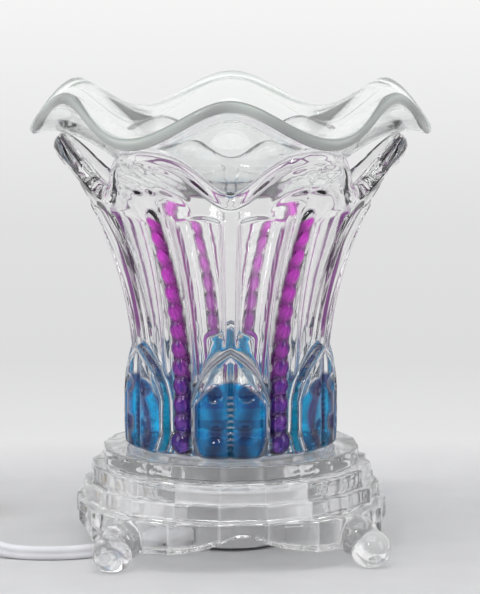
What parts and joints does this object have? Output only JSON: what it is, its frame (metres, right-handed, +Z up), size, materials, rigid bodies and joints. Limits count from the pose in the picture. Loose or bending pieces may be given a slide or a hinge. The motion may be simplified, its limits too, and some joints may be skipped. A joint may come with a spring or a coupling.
{
  "type": "electric wax melt warmer",
  "caption": "Pressed-glass electric wax warmer: ruffled lift-off dish on a flared beaded body over a stepped base, lamp inside, white lead with dimmer and plug.",
  "frame": {"origin": "on the glass body's axis at table level, under the middle of the base", "axes": "+Z up along the axis; the front, with an arch in its middle, faces -Y; the lead leaves towards -X"},
  "size_m": [0.3011, 0.1332, 0.165],
  "materials": {
    "clear_glass": "clear pressed glass",
    "stained_glass": "clear pressed glass with fired stain: magenta to violet beads, teal to blue arches",
    "dish_glass": "clear sagged glass with a faint green edge",
    "white_plastic": "satin white",
    "grey_plastic": "satin grey",
    "white_cord": "smooth white vinyl",
    "clear_rubber": "translucent",
    "zinc_steel": "zinc plated",
    "ceramic": "glazed white ceramic",
    "brass": "plain",
    "reflector": "aluminised glass",
    "lamp_glass": "clear",
    "board": "green circuit board",
    "tie": "white"
  },
  "bodies": {
    "warmer": {"glass_body": "stained_glass", "glass_base": "clear_glass", "body_seal": "clear_rubber", "flange_gasket": "clear_rubber", "deck_washer": "clear_rubber", "clamp_washer": "zinc_steel", "ring_nut": "grey_plastic", "lamp_housing": "grey_plastic", "housing_cap": "grey_plastic", "cap_screws": "zinc_steel", "lamp_holder": "ceramic", "holder_screws": "zinc_steel", "lamp_contacts": "brass", "inner_leads": "white_cord", "strain_relief": "white_cord", "cord_run": "white_cord", "cord_lead": "white_cord", "cord_coil": "white_cord", "cord_tail": "white_cord", "cord_tie": "tie", "dimmer_bottom": "white_plastic", "dimmer_top": "white_plastic", "dimmer_axle": "zinc_steel", "dimmer_board": "board", "dimmer_screws": "zinc_steel", "dimmer_sleeves": "white_cord", "plug_body": "white_cord", "plug_blades": "brass"},
    "dish": {"melt_dish": "dish_glass"},
    "bulb": {"lamp_pins": "zinc_steel", "lamp_base": "ceramic", "lamp_capsule": "lamp_glass", "lamp_reflector": "reflector", "lamp_lens": "lamp_glass"},
    "wheel": {"dimmer_wheel": "white_plastic"}
  },
  "joints": [
    {"name": "dish_lift", "type": "slide", "parent": "warmer", "child": "dish", "axis": [0, 0, 1], "range_m": [0, 0.04]},
    {"name": "bulb_twist", "type": "hinge", "parent": "warmer", "child": "bulb", "pos_m": [0, 0, 0.029], "axis": [0, 0, 1], "range_deg": [0, 25]},
    {"name": "dimmer_turn", "type": "hinge", "parent": "warmer", "child": "wheel", "pos_m": [-0.13018, -0.02747, 0.0065], "axis": [0, 0, 1], "range_deg": [0, 280]}
  ]
}
